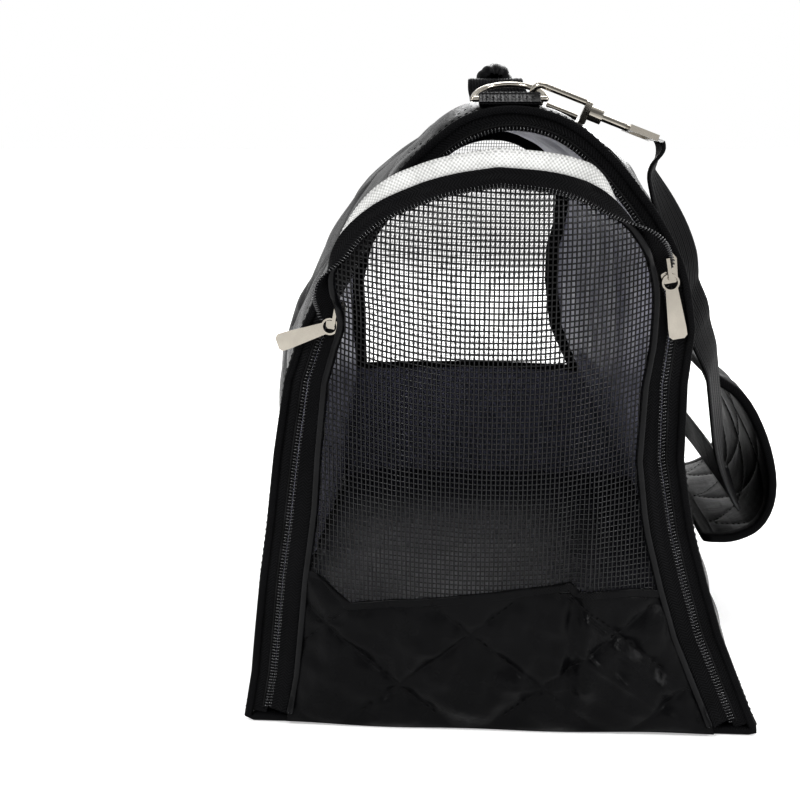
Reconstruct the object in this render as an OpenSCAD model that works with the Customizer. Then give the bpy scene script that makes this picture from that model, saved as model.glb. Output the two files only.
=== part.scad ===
// Soft-sided pet carrier bag: an arched, quilted fabric tunnel with a zipped mesh door at the front,
// a fixed mesh window at the rear, a carry handle on the roof and a padded shoulder strap.
// X runs across the bag, Y from the door to the rear, Z up. The origin is on the floor, under the centre.

/* [Bag] */
// Length from the front rim to the rear rim
bag_l = 420; // [360:10:440]
// Width across the base
base_w = 245; // [235:5:255]
// Height of the rim
rim_h = 290; // [285:5:300]
// Lean of the side walls from upright, in degrees
lean = 10.5; // [10:0.5:11]
// Radius of the arch at its crown
crown_r = 64; // [60:1:66]
// Radius of the arch at its shoulders
shoulder_r = 120; // [110:5:130]
// Thickness of the quilted walls
wall_t = 4; // [3:0.5:5]

/* [Door] */
// Height of the quilted panel under the door's mesh
door_panel_h = 66; // [50:2:80]
// Height of the quilted panel under the rear window
rear_panel_h = 100; // [80:5:110]
// Distance of the zip's centre line from the rim
zip_inset = 8.5; // [8:0.5:9]
// Height of the left slider
left_slider_z = 200; // [190:2:202]
// Height of the right slider
right_slider_z = 222; // [210:2:224]
// Angle at which the loose top of the door leans out
flap_lean = 18; // [15:1:22]

/* [Handle and hardware] */
// Width of the handle's webbing
handle_w = 30; // [25:1:34]
// Radius of the handle's padded grip
grip_r = 10; // [8:0.5:10.5]
// Height of the grip's centre line
grip_z = 309; // [308:1:314]
// Width of the shoulder strap's webbing
strap_w = 25; // [20:1:25]
// Wire radius of the rings
wire_r = 1.3; // [1.1:0.1:1.4]

/* [Shoulder pad] */
// Length of the shoulder pad
pad_l = 150; // [120:10:160]
// Thickness of the shoulder pad
pad_t = 8; // [6:0.5:9]

/* [Hidden] */

black = [0.06, 0.06, 0.065];
charcoal = [0.12, 0.12, 0.13];
lining_grey = [0.42, 0.42, 0.46];
binding_grey = [0.78, 0.78, 0.77];
steel = [0.8, 0.8, 0.8];

half_l = bag_l / 2;
far = 1000;
gap = 0.3;

// The arch is a crown arc, a shoulder arc tangent to it and a leaning leg tangent to the shoulder.
arc_steps = 8;
crown_z = rim_h - crown_r;
leg_d = base_w / 2 * cos(lean);
crown_to_leg = leg_d - crown_z * sin(lean);
join_angle = lean + acos((shoulder_r - crown_to_leg) / (shoulder_r - crown_r));
shoulder_x = -(shoulder_r - crown_r) * cos(join_angle);
shoulder_z = crown_z - (shoulder_r - crown_r) * sin(join_angle);

// Bands of the arch, each as a distance in from the rim
rim_out = -2;
rim_in = 2;
frame_tape_in = 4.7;
frame_coil_in = 6.9;
door_coil_out = 10.1;
door_tape_out = 12.3;
piping_out = 18;
piping_in = 21.6;
wall_in = rim_out + wall_t;
lining_t = 0.8;
split_z = 198;

rim_depth = 6;
base_t = 3.6;
board_t = 3;
mat_t = 10;
door_y = -half_l + 2;
tape_t = 0.8;
coil_t = 2.2;
mesh_t = 1;
panel_t = 4;
hinge_y = door_y - 2.6;
hinge_z = base_t + 0.6;

// The door folds along a line from one slider to the other.
fold_run = arch_x(zip_inset, right_slider_z) + arch_x(zip_inset, left_slider_z);
fold_below = 0.6;
fold_above = 2.4;
fold_tilt = atan((right_slider_z - left_slider_z) / fold_run);
fold_z = left_slider_z + arch_x(zip_inset, left_slider_z) * tan(fold_tilt);

slider_l = 13;
slider_w = 8.4;
plate_t = 1;
plate_gap = 1.5;
post_w = 1.2;
post_l = 1.5;
post_z = 2;
bridge_l = 9.8;
bridge_w = 1.6;
bridge_y = -4.9;
foot_z = -bridge_l / 2 + 0.5;
pull_y = -3.7;
pull_t = 0.8;
pull_l = 27;
pull_w = 8;
eye_r = 3;
eye_drop = 1.7;
pull_left_swing = 61;

roof_z = rim_h - rim_out;
handle_reach = 72;
grip_l = 116;
anchor_l = 34;
anchor_riser_z = 302;

dring_r = 16;
dring_tilt = 25;
dring_y = half_l - 14;
dring_z = roof_z + 3;
tab_l = 10;
tab_w = 27;

// The snap hook lies along the shoulder of the roof, from the D-ring down to the strap.
hook_fall = 21;
hook_roll = -70;
hook_start = [13.95, 4, 297.33];
hook_eye_l = 20;
hook_eye_w = 10.4;
hook_wire_r = 1.4;
gate_from = 4;
gate_to = hook_eye_l - 1.2;
barrel_l = 9;
barrel_r = 3.2;
loop_w = strap_w + 5;
loop_l = 8;
loop_x = 44;

// Middle line of the strap's front half, from its end loop down to the shoulder pad
strap_t = 1.8;
strap_route = [
    [66.4, -192, 277.2], [72.5, -191, 264.2], [80, -189, 249.5], [88.4, -186, 231], [93, -182, 214],
    [97, -173, 198], [99.5, -163.5, 180], [106.5, -146, 152], [113.5, -128.5, 124], [121, -111, 101],
    [129, -94, 88], [134, -78, 84], [134, 0, 84]
];
// The way its outer face looks at each of those points: it hangs twisted towards the end of the bag.
strap_looks = [
    [1, 0, 0.45], [1, -0.1, 0.4], [1, -0.35, 0.3], [1, -0.65, 0.2], [1, -0.8, 0.1], [1, -0.75, 0], [1, -0.5, 0.2],
    [1, -0.5, 0.2], [1, -0.5, 0.2], [1, -0.15, 0.3], [1, 0, 0.3], [1, 0, 0.3], [1, 0, 0.3]
];
adjuster_at = 7;

// Middle line of the pad's folded cross-section, open towards the bag
pad_profile = [[121, 147], [137, 137], [151, 110], [157, 82], [151, 62], [136, 54], [122, 54]];

// ---- Arch shapes ----

function leg_x(inset, z) = (leg_d - inset - z * sin(lean)) / cos(lean);
function arch_x(inset, z) =
    z < shoulder_z + (shoulder_r - inset) * sin(lean) ? leg_x(inset, z)
    : z < crown_z + (crown_r - inset) * sin(join_angle)
        ? shoulder_x + sqrt(pow(shoulder_r - inset, 2) - pow(z - shoulder_z, 2))
        : sqrt(pow(crown_r - inset, 2) - pow(z - crown_z, 2));
function arch_half(inset, z0) = concat(
    [[leg_x(inset, z0), z0]],
    [for (i = [0:arc_steps]) let (a = lean + (join_angle - lean) * i / arc_steps)
        [shoulder_x + (shoulder_r - inset) * cos(a), shoulder_z + (shoulder_r - inset) * sin(a)]],
    [for (i = [1:arc_steps]) let (a = join_angle + (90 - join_angle) * i / arc_steps)
        [(crown_r - inset) * cos(a), crown_z + (crown_r - inset) * sin(a)]]
);
function mirrored(points) = [for (i = [len(points) - 2:-1:0]) [-points[i][0], points[i][1]]];
function arch(inset, z0) = concat(arch_half(inset, z0), mirrored(arch_half(inset, z0)));

// Extrudes an outline drawn in X and Z from the plane y0 to the plane y1.
module slab(y0, y1) {
    translate([0, y1, 0]) rotate([90, 0, 0]) linear_extrude(y1 - y0) children();
}
// A band of the arch standing on z0. The sill closes its foot when it is above zero.
module band(outer, inner, z0, sill = 0) {
    difference() {
        polygon(arch(outer, z0));
        polygon(arch(inner, sill > 0 ? z0 + sill : z0 - 1));
    }
}
module below(z) { translate([-far, z - 2 * far]) square([2 * far, 2 * far]); }
module above(z) { translate([-far, z]) square([2 * far, 2 * far]); }
module side_of(s) { translate([s > 0 ? 0 : -far, -far]) square([far, 2 * far]); }
module below_fold() { translate([0, fold_z]) rotate(fold_tilt) below(-fold_below); }
module above_fold() { translate([0, fold_z]) rotate(fold_tilt) above(fold_above); }

// Room for a slider in the zip's strips, on both sides of where it rests
module slider_room(drop) {
    for (s = [-1, 1]) {
        z = s > 0 ? right_slider_z : left_slider_z;
        translate([s * arch_x(zip_inset, z), z]) rotate(s * lean)
            translate([-slider_w / 2 - 0.8, -drop]) square([slider_w + 1.6, drop + slider_l / 2 + 3]);
    }
}

// ---- Shell ----

module base_panel() {
    color(black) linear_extrude(base_t)
        translate([-leg_x(rim_out, 0) + 0.5, -half_l + rim_depth])
            square([2 * leg_x(rim_out, 0) - 1, bag_l - 2 * rim_depth]);
}
module base_board() {
    w = 2 * leg_x(wall_in + lining_t + 1, base_t + board_t);
    color(charcoal) translate([-w / 2, -half_l + rim_depth + 1, base_t]) cube([w, bag_l - 2 * rim_depth - 2, board_t]);
}
module floor_mat() {
    w = 2 * leg_x(wall_in + lining_t + 1.5, base_t + board_t + mat_t) - 4;
    l = bag_l - 2 * rim_depth - 6;
    r = 18;
    color(lining_grey) translate([0, 0, base_t + board_t]) linear_extrude(mat_t) union() {
        square([w - 2 * r, l], center = true);
        square([w, l - 2 * r], center = true);
        for (sx = [-1, 1], sy = [-1, 1])
            translate([sx * (w / 2 - r), sy * (l / 2 - r)]) circle(r, $fn = 48);
    }
}
module side_panel(s) {
    color(black) slab(-half_l + rim_depth, half_l - rim_depth) intersection() {
        band(rim_out, wall_in, base_t);
        below(split_z);
        side_of(s);
    }
}
module side_panel_left() { side_panel(-1); }
module side_panel_right() { side_panel(1); }
module roof_panel() {
    color(black) slab(-half_l + rim_depth, half_l - rim_depth) intersection() {
        band(rim_out, wall_in, base_t);
        above(split_z);
    }
}
module lining() {
    z0 = base_t + board_t + mat_t + gap;
    color(lining_grey) slab(-half_l + rim_depth, half_l - rim_depth - 4)
        band(wall_in + 0.1, wall_in + lining_t, z0);
}
module front_rim() {
    color(black) slab(-half_l, -half_l + rim_depth) band(rim_out, rim_in, 0, base_t);
}
module rear_rim() {
    color(black) slab(half_l - rim_depth, half_l) band(rim_out, rim_in, 0, base_t);
}
module rear_trim() {
    color(black) slab(half_l - 4, half_l - 1) intersection() {
        band(rim_in, 12, base_t);
        above(rear_panel_h);
    }
}
module rear_mesh_window() {
    color(charcoal) slab(half_l - 3, half_l - 3 + mesh_t) intersection() {
        polygon(arch(12, base_t));
        above(rear_panel_h);
    }
}
module rear_quilted_panel() {
    color(black) slab(half_l - 4, half_l - 4 + panel_t) intersection() {
        polygon(arch(rim_in, base_t));
        below(rear_panel_h);
    }
}

// ---- Zip, frame side ----

module frame_zip_tape() {
    color(black) slab(door_y - tape_t / 2, door_y + tape_t / 2) difference() {
        band(rim_in, frame_tape_in, base_t);
        slider_room(slider_l / 2 + 3);
    }
}
module frame_zip_coil() {
    color(charcoal) slab(door_y - coil_t / 2, door_y + coil_t / 2)
        band(frame_tape_in, frame_coil_in, base_t + 3);
}

// ---- Door, up to the fold ----

module door_mesh() {
    color(charcoal) slab(door_y - mesh_t / 2, door_y + mesh_t / 2) intersection() {
        polygon(arch(piping_in, base_t));
        above(door_panel_h);
        below_fold();
    }
}
module door_quilted_panel() {
    color(black) slab(door_y - 2.4, door_y - 2.4 + panel_t) intersection() {
        polygon(arch(piping_in, hinge_z + gap));
        below(door_panel_h);
    }
}
module door_piping() {
    color(black) slab(door_y - 2.4, door_y + 1.4) intersection() {
        band(piping_out, piping_in, hinge_z + gap);
        below_fold();
    }
}
module door_zip_tape() {
    color(black) slab(door_y - tape_t / 2, door_y + tape_t / 2) difference() {
        intersection() {
            band(door_tape_out, piping_out, hinge_z + 3);
            below_fold();
        }
        slider_room(38);
    }
}
module door_zip_coil() {
    color(charcoal) slab(door_y - coil_t / 2, door_y + coil_t / 2) difference() {
        intersection() {
            band(door_coil_out, door_tape_out, hinge_z + 3);
            below_fold();
        }
        slider_room(38);
    }
}

// ---- Loose top of the door, drawn upright and then leant out about the fold line ----

module leant_out() {
    translate([0, door_y, fold_z]) rotate([0, -fold_tilt, 0]) rotate([flap_lean, 0, 0])
        rotate([0, fold_tilt, 0]) translate([0, -door_y, -fold_z]) children();
}
module flap_band(outer, inner, y0, y1) {
    slab(y0, y1) intersection() {
        band(outer, inner, base_t);
        above_fold();
    }
}
module flap_mesh() {
    color(charcoal) leant_out() slab(door_y - mesh_t / 2, door_y + mesh_t / 2) intersection() {
        polygon(arch(26, base_t));
        above_fold();
    }
}
module flap_seam_binding() {
    color(binding_grey) leant_out() flap_band(16, 24.5, door_y + 0.4, door_y + 1.6);
}
module flap_piping() {
    color(black) leant_out() flap_band(22, 26, door_y - 3.2, door_y + 0.4);
}
module flap_zip_tape() {
    color(black) leant_out() flap_band(26, 33, door_y - 3.2, door_y - 2.4);
}
module flap_zip_coil() {
    color(charcoal) leant_out() flap_band(33, 35.2, door_y - 3.6, door_y - 1.4);
}

// ---- Sliders and pulls ----

// Places children on the zip's centre line: Z up along the leg, X across it, Y from front to back.
module on_zip(s) {
    z = s > 0 ? right_slider_z : left_slider_z;
    translate([s * arch_x(zip_inset, z), door_y, z]) rotate([0, -s * lean, 0]) children();
}
module slider_plate(y0) {
    c = slider_w / 2;
    h = slider_l / 2;
    slab(y0, y0 + plate_t) polygon([[-c + 1.5, h], [c - 1.5, h], [c, h - 2.5], [c - 0.8, -h + 1],
        [c - 1.8, -h], [-c + 1.8, -h], [-c + 0.8, -h + 1], [-c, h - 2.5]]);
}
module slider() {
    slider_plate(-plate_gap - plate_t);
    slider_plate(plate_gap);
    slab(-plate_gap, plate_gap) translate([-post_w / 2, post_z]) square([post_w, post_l]);
    for (e = [-1, 1])
        slab(bridge_y, -plate_gap - plate_t) translate([-bridge_w / 2, e * foot_z - 0.5]) square([bridge_w, 1]);
    slab(bridge_y - 0.8, bridge_y) translate([-bridge_w / 2, -bridge_l / 2]) square([bridge_w, bridge_l]);
}
module zip_slider_left() { color(steel) on_zip(-1) slider(); }
module zip_slider_right() { color(steel) on_zip(1) slider(); }

// The pull's eye goes round the lower foot of the slider's bridge. The tab hangs from it along -Z.
module pull() {
    eye_z = -eye_drop;
    slab(-pull_t / 2, pull_t / 2) difference() {
        union() {
            translate([0, eye_z]) circle(eye_r + 0.9, $fn = 48);
            polygon([[-2.7, eye_z - 2.4], [2.7, eye_z - 2.4], [pull_w / 2, -pull_l + 5], [pull_w / 2, -pull_l + 1.4],
                [pull_w / 2 - 1.4, -pull_l], [-pull_w / 2 + 1.4, -pull_l], [-pull_w / 2, -pull_l + 1.4],
                [-pull_w / 2, -pull_l + 5]]);
        }
        translate([0, eye_z]) circle(eye_r, $fn = 48);
    }
}
module hung_pull(s, swing) {
    color(steel) on_zip(s) translate([0, pull_y, foot_z]) rotate([0, swing, 0]) pull();
}
module zip_pull_left() { hung_pull(-1, pull_left_swing); }
module zip_pull_right() { hung_pull(1, 0); }

// ---- Handle ----

module handle_anchor(s) {
    foot = handle_reach + anchor_l;
    color(black) mirror([0, s > 0 ? 0 : 1, 0]) rotate([90, 0, 90])
        translate([0, 0, -handle_w / 2]) linear_extrude(handle_w)
            polygon([[foot, roof_z], [foot, roof_z + 1.8], [handle_reach + 5, roof_z + 1.8],
                [handle_reach, anchor_riser_z], [handle_reach - 3, anchor_riser_z],
                [handle_reach + 2, roof_z]]);
}
module handle_anchor_front() { handle_anchor(-1); }
module handle_anchor_rear() { handle_anchor(1); }
module handle_webbing() {
    z0 = anchor_riser_z + 0.4;
    color(black) for (s = [0, 1]) mirror([0, s, 0]) rotate([90, 0, 90])
        translate([0, 0, -handle_w / 2]) linear_extrude(handle_w)
            polygon([[handle_reach - 3.6, z0], [handle_reach - 7, grip_z + 1.1], [grip_l / 2, grip_z + 1.1],
                [grip_l / 2, grip_z - 1.1], [handle_reach - 9, grip_z - 1.1], [handle_reach - 6.2, z0]]);
}
module handle_grip() {
    color(charcoal) translate([0, grip_l / 2, grip_z]) rotate([90, 0, 0]) cylinder(h = grip_l, r = grip_r, $fn = 40);
}

// ---- D-rings, hooks and strap loops; the rear ones mirror the front ones ----

module at_end(s) { mirror([0, s > 0 ? 1 : 0, 0]) children(); }
module dring() {
    color(steel) translate([0, -dring_y, dring_z]) rotate([dring_tilt, 0, 0]) {
        translate([-dring_r, 0, 0]) rotate([0, 90, 0]) cylinder(h = 2 * dring_r, r = wire_r, $fn = 24);
        rotate_extrude(angle = 180, $fn = 64) translate([dring_r, 0]) circle(wire_r, $fn = 24);
        for (e = [-1, 1]) translate([e * dring_r, 0, 0]) sphere(wire_r, $fn = 24);
    }
}
module dring_front() { at_end(-1) dring(); }
module dring_rear() { at_end(1) dring(); }
module dring_tab() {
    bore_r = wire_r + 0.35;
    color(black) translate([-tab_w / 2, 0, 0]) rotate([90, 0, 90]) linear_extrude(tab_w) difference() {
        union() {
            translate([-dring_y + 1.5 - tab_l, roof_z]) square([tab_l, 1.6]);
            translate([-dring_y, dring_z]) circle(bore_r + 1.2, $fn = 40);
        }
        translate([-dring_y, dring_z]) circle(bore_r, $fn = 40);
        translate([-dring_y - far, roof_z - far]) square([2 * far, far]);
    }
}
module dring_tab_front() { at_end(-1) dring_tab(); }
module dring_tab_rear() { at_end(1) dring_tab(); }

// Places children with X along the hook, falling away from the bag's middle, and rolled about X.
module on_hook(roll) {
    translate(hook_start - [0, dring_y, 0]) rotate([0, hook_fall, 0]) rotate([roll, 0, 0]) children();
}
module rod(from_x, to_x, y, r) {
    translate([from_x, y, 0]) rotate([0, 90, 0]) cylinder(h = to_x - from_x, r = r, $fn = 24);
}
module snap_hook() {
    bend_r = hook_eye_w / 2 - hook_wire_r;
    color(steel) on_hook(hook_roll) {
        rotate([0, 0, 90]) rotate_extrude(angle = 180, $fn = 48) translate([bend_r, 0]) circle(hook_wire_r, $fn = 24);
        rod(0, hook_eye_l, -bend_r, hook_wire_r);
        rod(0, 2.5, bend_r, hook_wire_r);
        difference() {
            translate([hook_eye_l, 0, 0]) union() {
                translate([0, -bend_r - hook_wire_r, -2]) cube([3, 2 * (bend_r + hook_wire_r), 4]);
                rod(3, barrel_l, 0, barrel_r);
            }
            rod(hook_eye_l + 2, hook_eye_l + barrel_l + 1, 0, 1.6);
        }
    }
}
module hook_gate() {
    bend_r = hook_eye_w / 2 - hook_wire_r;
    color(steel) on_hook(hook_roll) rod(gate_from, gate_to, bend_r, 1.2);
}
module swivel_loop() {
    color(steel) on_hook(0) {
        rod(hook_eye_l + 4, loop_x - 2, 0, 1.55);
        translate([loop_x - 3.2, -loop_w / 2, -1.3]) cube([2.6, loop_w, 2.6]);
        for (e = [-1, 1]) translate([loop_x - 0.6, e * (loop_w / 2 - 1.3) - 1.3, -1.3]) cube([loop_l, 2.6, 2.6]);
        translate([loop_x - 0.6 + loop_l, -loop_w / 2, -1.3]) cube([2.6, loop_w, 2.6]);
    }
}
module snap_hook_front() { at_end(-1) snap_hook(); }
module snap_hook_rear() { at_end(1) snap_hook(); }
module hook_gate_front() { at_end(-1) hook_gate(); }
module hook_gate_rear() { at_end(1) hook_gate(); }
module swivel_loop_front() { at_end(-1) swivel_loop(); }
module swivel_loop_rear() { at_end(1) swivel_loop(); }

// ---- Shoulder strap ----

function unit(v) = v / norm(v);
function strap_dir(i) = let (n = len(strap_route) - 1)
    unit(strap_route[min(i + 1, n)] - strap_route[max(i - 1, 0)]);
function strap_wide(i) = unit(cross(strap_dir(i), strap_looks[i]));
function strap_thin(i) = cross(strap_wide(i), strap_dir(i));
function strap_ring(i) = [for (c = [[-1, -1], [1, -1], [1, 1], [-1, 1]])
    strap_route[i] + c[0] * strap_w / 2 * strap_wide(i) + c[1] * strap_t / 2 * strap_thin(i)];
module strap_half() {
    n = len(strap_route);
    color(black) polyhedron(
        points = [for (i = [0:n - 1]) each strap_ring(i)],
        faces = concat(
            [[3, 2, 1, 0]],
            [for (i = [0:n - 2], k = [0:3]) let (a = 4 * i + k, b = 4 * i + (k + 1) % 4) [a, b, b + 4]],
            [for (i = [0:n - 2], k = [0:3]) let (a = 4 * i + k, b = 4 * i + (k + 1) % 4) [a, b + 4, a + 4]],
            [[4 * n - 4, 4 * n - 3, 4 * n - 2, 4 * n - 1]]));
}
module strap_webbing_front() { at_end(-1) strap_half(); }
module strap_webbing_rear() { at_end(1) strap_half(); }
module strap_adjuster() {
    w = strap_w + 7;
    i = adjuster_at;
    color(steel) at_end(1) multmatrix([
        for (r = [0:2]) [strap_dir(i)[r], strap_wide(i)[r], strap_thin(i)[r], strap_route[i][r]],
        [0, 0, 0, 1]]) difference() {
            translate([-9, -w / 2, -2.2]) cube([18, w, 4.4]);
            translate([-10, -strap_w / 2 - 1, -1.6]) cube([20, strap_w + 2, 3.2]);
        }
}

// ---- Shoulder pad ----

// Points at a distance d to the left of a line of points, mitred at its corners
function aside(points, d) = [for (i = [0:len(points) - 1])
    let (
        u = unit(points[min(i + 1, len(points) - 1)] - points[min(i, len(points) - 2)]),
        v = unit(points[max(i, 1)] - points[max(i - 1, 0)]),
        m = unit(u + v)
    ) points[i] + d / (m * u) * [-m[1], m[0]]];
module pad_line(points, thick) {
    left = aside(points, thick / 2);
    right = aside(points, -thick / 2);
    polygon(concat(left, [for (i = [len(right) - 1:-1:0]) right[i]]));
}
module shoulder_pad() {
    color(charcoal) slab(-pad_l / 2, pad_l / 2) pad_line(pad_profile, pad_t);
}
module pad_binding() {
    color(black) for (s = [-1, 1])
        slab(s > 0 ? pad_l / 2 : -pad_l / 2 - 3, s > 0 ? pad_l / 2 + 3 : -pad_l / 2)
            pad_line(pad_profile, pad_t + 1);
}

base_panel();
base_board();
floor_mat();
side_panel_left();
side_panel_right();
roof_panel();
lining();
front_rim();
rear_rim();
rear_mesh_window();
rear_quilted_panel();
rear_trim();
frame_zip_tape();
frame_zip_coil();
handle_anchor_front();
handle_anchor_rear();
dring_tab_front();
dring_tab_rear();
strap_webbing_front();
strap_webbing_rear();
swivel_loop_front();
swivel_loop_rear();
door_mesh();
door_quilted_panel();
door_piping();
door_zip_tape();
door_zip_coil();
flap_mesh();
flap_seam_binding();
flap_piping();
flap_zip_tape();
flap_zip_coil();
zip_slider_left();
zip_slider_right();
zip_pull_left();
zip_pull_right();
handle_webbing();
handle_grip();
dring_front();
dring_rear();
snap_hook_front();
snap_hook_rear();
hook_gate_front();
hook_gate_rear();
shoulder_pad();
pad_binding();
strap_adjuster();
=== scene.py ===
"""Pet carrier bag: the fabric, mesh, zip, webbing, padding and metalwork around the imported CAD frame.

Lengths in this file are millimetres in the row frame until mesh() scales them to metres.
"""

import math

import bpy
import numpy as np
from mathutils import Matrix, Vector


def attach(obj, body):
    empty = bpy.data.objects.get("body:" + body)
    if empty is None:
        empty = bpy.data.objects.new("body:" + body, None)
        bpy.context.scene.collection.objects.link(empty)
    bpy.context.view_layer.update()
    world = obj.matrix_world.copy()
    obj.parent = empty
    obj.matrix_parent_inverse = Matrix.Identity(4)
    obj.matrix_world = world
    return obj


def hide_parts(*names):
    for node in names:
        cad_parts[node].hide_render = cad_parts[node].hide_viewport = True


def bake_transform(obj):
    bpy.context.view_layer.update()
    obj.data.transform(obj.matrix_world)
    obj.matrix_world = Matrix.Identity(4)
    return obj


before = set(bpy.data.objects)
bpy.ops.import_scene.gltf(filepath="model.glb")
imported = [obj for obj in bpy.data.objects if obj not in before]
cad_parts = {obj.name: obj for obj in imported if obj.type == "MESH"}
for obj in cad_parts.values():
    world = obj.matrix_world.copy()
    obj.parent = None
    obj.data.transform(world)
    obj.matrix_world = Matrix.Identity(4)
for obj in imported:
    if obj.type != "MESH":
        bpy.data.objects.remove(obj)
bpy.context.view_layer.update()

MM = 0.001
RAD = math.radians

# The bag's measures, as in the CAD model
HALF_L = 210.0
LEAN = RAD(10.5)
CROWN_R, SHOULDER_R, RIM_H = 64.0, 120.0, 290.0
CROWN_Z = RIM_H - CROWN_R
LEG_D = 122.5 * math.cos(LEAN)
JOIN = LEAN + math.acos((SHOULDER_R - LEG_D + CROWN_Z * math.sin(LEAN)) / (SHOULDER_R - CROWN_R))
SHOULDER_X = -(SHOULDER_R - CROWN_R) * math.cos(JOIN)
SHOULDER_Z = CROWN_Z - (SHOULDER_R - CROWN_R) * math.sin(JOIN)
DOOR_Y = -208.0
LEFT_Z, RIGHT_Z = 200.0, 222.0
FOLD_TILT = RAD(8.492)
FOLD_Z = 211.47
BOARD_TOP = 6.6


# ---- Outlines and the bag's sag ----

def arch(inset, n, z0=0.0):
    """n evenly spaced points (x, z) of the arch at an inset, from its left foot to its right one."""
    leg = [((LEG_D - inset - z0 * math.sin(LEAN)) / math.cos(LEAN), z0)]
    a = np.linspace(LEAN, JOIN, 70)
    r = SHOULDER_R - inset
    shoulder = np.stack([SHOULDER_X + r * np.cos(a), SHOULDER_Z + r * np.sin(a)], 1)
    a = np.linspace(JOIN, math.pi / 2, 70)[1:]
    r = CROWN_R - inset
    crown = np.stack([r * np.cos(a), CROWN_Z + r * np.sin(a)], 1)
    half = np.concatenate([leg, shoulder, crown])
    left = half * [-1, 1]
    full = np.concatenate([left, half[::-1][1:]])
    return resample(full, n)


def distances(path):
    """How far along a path each of its points lies."""
    return np.concatenate([[0], np.cumsum(np.linalg.norm(np.diff(path, axis=0), axis=1))])


def coords(*parts):
    """Points from coordinates that broadcast against each other."""
    return np.stack(np.broadcast_arrays(*parts), -1)


def at_depth(line, y):
    """An (x, z) line, or its normals, as points at depth y."""
    return np.stack([line[:, 0], np.broadcast_to(y, len(line)), line[:, 1]], 1)


def resample(points, n):
    """n evenly spaced points along a line."""
    points = np.asarray(points, float)
    d = distances(points)
    t = np.linspace(0, d[-1], n)
    return np.stack([np.interp(t, d, points[:, k]) for k in range(points.shape[1])], 1)


def length_of(points):
    return float(np.linalg.norm(np.diff(points, axis=0), axis=1).sum())


def outward(points):
    """Outward normals of an (x, z) line that runs from the left foot over the top to the right foot."""
    t = np.gradient(points, axis=0)
    t /= np.linalg.norm(t, axis=1)[:, None]
    return np.stack([-t[:, 1], t[:, 0]], 1)


def half_width(inset, z):
    """Half the arch's width at height z, for an array of heights."""
    z = np.asarray(z, float)
    inset = np.asarray(inset, float)
    leg = (LEG_D - inset - z * math.sin(LEAN)) / math.cos(LEAN)
    r = SHOULDER_R - inset
    shoulder = SHOULDER_X + np.sqrt(np.maximum(r * r - (z - SHOULDER_Z) ** 2, 0))
    r = CROWN_R - inset
    crown = np.sqrt(np.maximum(r * r - (z - CROWN_Z) ** 2, 0))
    z1 = SHOULDER_Z + (SHOULDER_R - inset) * math.sin(LEAN)
    z2 = CROWN_Z + (CROWN_R - inset) * math.sin(JOIN)
    return np.where(z < z1, leg, np.where(z < z2, shoulder, crown))


def smooth(t):
    t = np.clip(t, 0, 1)
    return t * t * (3 - 2 * t)


def ripple(a, b, wave, seed, folds=5):
    """A smooth random wave of about unit height over two coordinates."""
    rs = np.random.RandomState(seed)
    total = 0
    for _ in range(folds):
        k = 2 * math.pi / (wave * rs.uniform(0.7, 1.5))
        w = rs.uniform(0, 2 * math.pi)
        along = np.asarray(a) * math.cos(w) + np.asarray(b) * math.sin(w)
        total = total + np.sin(k * along + rs.uniform(0, 6.28))
    return total / math.sqrt(folds)


# The soft shell leans to its left and is pinched in on its right, more so towards the rear.
SAG_Z = [0, 25, 50, 75, 100, 135, 170, 195, 222, 255, 280, 296]
SAG_FRONT_LEFT = [0, 0, -2, -4, -5, -7, -8, -4, 4, 8, 8, 2]
SAG_FRONT_RIGHT = [0, -6, -12, -15, -17, -17, -11, -4, -3, -5, -4, -2]
SAG_REAR_LEFT = [0, -2, -4, -7, -9, -17, -24, -23, -16, -6, -2, 0]
SAG_REAR_RIGHT = [0, -5, -12, -22, -30, -40, -38, -33, -20, -4, -3, -3]


def sag(p):
    """Moves points sideways with the sag of the shell."""
    p = np.array(p, float)
    z = p[..., 2]
    t = np.clip((p[..., 1] + HALF_L) / (2 * HALF_L), 0, 1)
    side = smooth(0.5 + p[..., 0] / 130)
    left = (1 - t) * np.interp(z, SAG_Z, SAG_FRONT_LEFT) + t * np.interp(z, SAG_Z, SAG_REAR_LEFT)
    right = (1 - t) * np.interp(z, SAG_Z, SAG_FRONT_RIGHT) + t * np.interp(z, SAG_Z, SAG_REAR_RIGHT)
    p[..., 0] += (1 - side) * left + side * right
    return p


# ---- Mesh making ----

def mesh(name, verts, faces, material, body=None, uv=None):
    """A mesh object from points in millimetres, smooth shaded, with an optional uv map in millimetres."""
    me = bpy.data.meshes.new(name)
    verts = np.asarray(verts, float).reshape(-1, 3) * MM
    me.from_pydata(verts.tolist(), [], [list(map(int, f)) for f in faces])
    if uv is not None:
        uv = np.asarray(uv, float).reshape(-1, 2)
        layer = me.uv_layers.new(name="UVMap")
        index = np.zeros(len(me.loops), np.int32)
        me.loops.foreach_get("vertex_index", index)
        layer.data.foreach_set("uv", uv[index].astype(np.float32).ravel())
    me.polygons.foreach_set("use_smooth", [True] * len(me.polygons))
    me.materials.append(material)
    o = bpy.data.objects.new(name, me)
    bpy.context.scene.collection.objects.link(o)
    if body:
        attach(o, body)
    return o


def grid(nu, nv, wrap=False):
    """Quads of an nu by nv grid of points. With wrap the second direction closes on itself."""
    i, j = np.meshgrid(np.arange(nu - 1), np.arange(nv if wrap else nv - 1), indexing="ij")
    k = (j + 1) % nv
    return np.stack([i * nv + j, (i + 1) * nv + j, (i + 1) * nv + k, i * nv + k], -1).reshape(-1, 4)


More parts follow.
